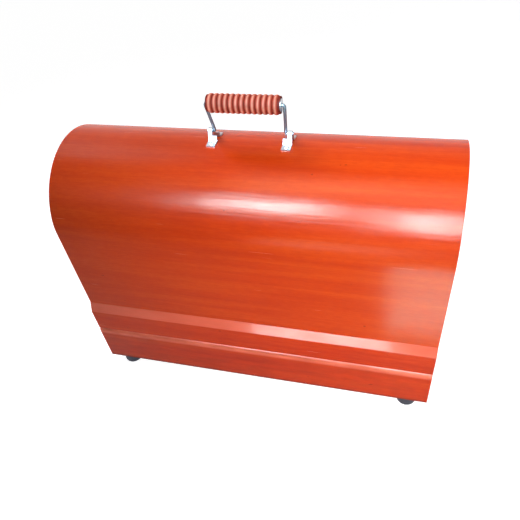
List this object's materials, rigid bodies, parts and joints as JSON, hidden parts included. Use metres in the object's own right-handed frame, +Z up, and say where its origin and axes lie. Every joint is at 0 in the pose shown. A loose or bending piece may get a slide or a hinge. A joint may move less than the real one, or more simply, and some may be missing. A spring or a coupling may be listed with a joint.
{
  "type": "sewing machine carrying case",
  "caption": "Bentwood carrying case for a sewing machine: low base box on round feet, tall arched lift-off cover with bevelled lower bands and a swinging wire handle with a ribbed grip.",
  "frame": {"origin": "on the ground under the middle of the case, below the bottom of the feet", "axes": "+X along the case towards the lock end, +Y to the back, +Z up"},
  "size_m": [0.508, 0.216, 0.4188],
  "materials": {
    "varnished_wood": "red-brown stain under gloss varnish",
    "moulding_wood": "red-brown stain under gloss varnish",
    "plain_wood": "thinly stained, satin",
    "grip_wood": "turned, gloss varnish",
    "nickel_plate": "bright nickel plate",
    "wire_steel": "drawn steel wire",
    "plain_steel": "dull steel",
    "brass_trim": "aged brass",
    "foot_rubber": "moulded rubber"
  },
  "bodies": {
    "base": {"base_front_rail": "varnished_wood", "base_back_rail": "varnished_wood", "base_left_end": "varnished_wood", "base_right_end": "varnished_wood", "base_floor": "plain_wood", "base_divider": "plain_wood", "base_bed_blocks": "plain_wood", "lid_pivot_pins": "brass_trim", "foot_front_left": "foot_rubber", "foot_back_left": "foot_rubber", "foot_front_right": "foot_rubber", "foot_back_right": "foot_rubber", "foot_screws": "plain_steel", "base_tongue_plate": "plain_steel", "base_tongue": "plain_steel", "base_hook_plate": "plain_steel", "base_lock_hook": "plain_steel", "base_plate_screws": "brass_trim", "bed_hinge_leaves": "plain_steel", "bed_hinge_axles": "plain_steel", "bed_hinge_screws": "plain_steel"},
    "cover": {"cover_shell": "varnished_wood", "cover_left_end": "varnished_wood", "cover_right_end": "varnished_wood", "cover_receiver_plate": "plain_steel", "cover_receiver_screws": "brass_trim", "keyhole_liner": "brass_trim", "lock_case": "plain_steel", "lock_screws": "brass_trim", "cover_front_moulding": "moulding_wood", "cover_back_moulding": "moulding_wood", "cover_front_batten": "plain_wood", "cover_back_batten": "plain_wood", "cover_handle_block": "plain_wood", "handle_strap_left": "nickel_plate", "handle_strap_right": "nickel_plate", "handle_strap_screws": "nickel_plate"},
    "lid": {"compartment_lid": "plain_wood"},
    "stud_left": {"bed_stud_left": "plain_steel"},
    "stud_right": {"bed_stud_right": "plain_steel"},
    "bolt": {"lock_bolt": "plain_steel"},
    "handle": {"handle_bail": "wire_steel", "handle_grip_washers": "nickel_plate"},
    "grip": {"handle_grip": "grip_wood"}
  },
  "joints": [
    {"name": "cover_lift", "type": "slide", "parent": "base", "child": "cover", "axis": [0, 0, 1], "range_m": [0, 0.34]},
    {"name": "handle_swing", "type": "hinge", "parent": "cover", "child": "handle", "pos_m": [0, 0, 0.3692], "axis": [1, 0, 0], "range_deg": [-112, 86]},
    {"name": "grip_spin", "type": "hinge", "parent": "handle", "child": "grip", "pos_m": [0, -0.00891, 0.40779], "axis": [1, 0, 0], "continuous": true},
    {"name": "bolt_slide", "type": "slide", "parent": "cover", "child": "bolt", "axis": [0, 1, 0], "range_m": [0, 0.007]},
    {"name": "lid_hinge", "type": "hinge", "parent": "base", "child": "lid", "pos_m": [0.235, 0, 0.0805], "axis": [0, 1, 0], "range_deg": [0, 90]},
    {"name": "stud_swing_left", "type": "hinge", "parent": "base", "child": "stud_left", "pos_m": [-0.169, 0.0795, 0.077], "axis": [-1, 0, 0], "range_deg": [0, 180]},
    {"name": "stud_swing_right", "type": "hinge", "parent": "base", "child": "stud_right", "pos_m": [0.061, 0.0795, 0.077], "axis": [-1, 0, 0], "range_deg": [0, 180]}
  ]
}
